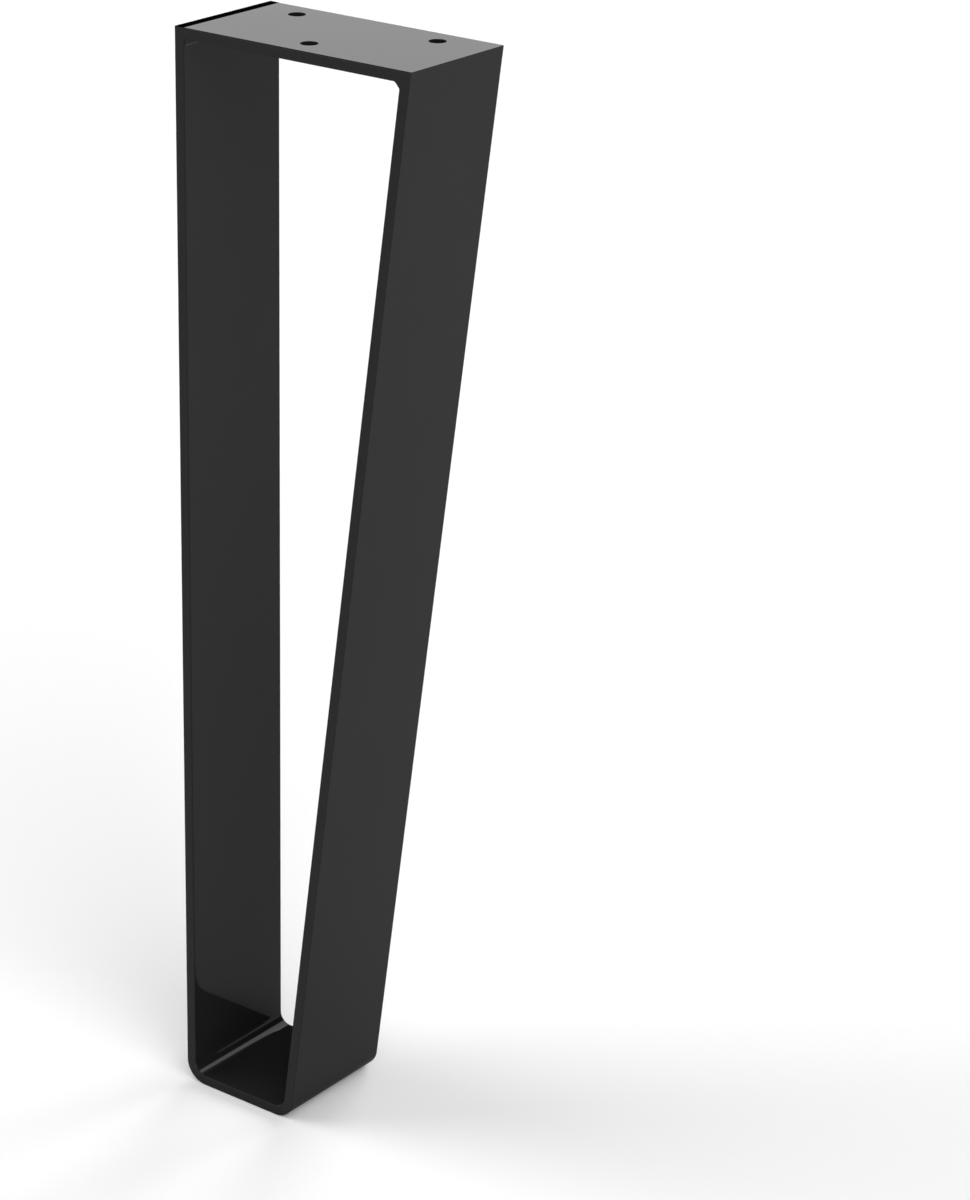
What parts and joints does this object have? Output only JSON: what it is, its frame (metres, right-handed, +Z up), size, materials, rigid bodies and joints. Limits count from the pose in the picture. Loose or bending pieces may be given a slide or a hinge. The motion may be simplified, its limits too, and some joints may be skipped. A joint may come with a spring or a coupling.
{
  "type": "table leg",
  "caption": "Black powder-coated flat-steel table leg: a folded strip makes a tapering open frame, closed at the top by a welded plate with screw holes.",
  "frame": {"origin": "on the floor, in the middle of the leg's overall width and depth", "axes": "+Z up, +X from the upright towards the slanted side, +Y to the back, where the pair of screw holes is"},
  "size_m": [0.1, 0.05, 0.4],
  "materials": {
    "black_coat": "smooth, semi-gloss black powder coat"
  },
  "bodies": {
    "root": {"folded_strip": "black_coat", "top_plate": "black_coat", "upright_weld": "black_coat", "slant_weld": "black_coat"}
  },
  "joints": []
}
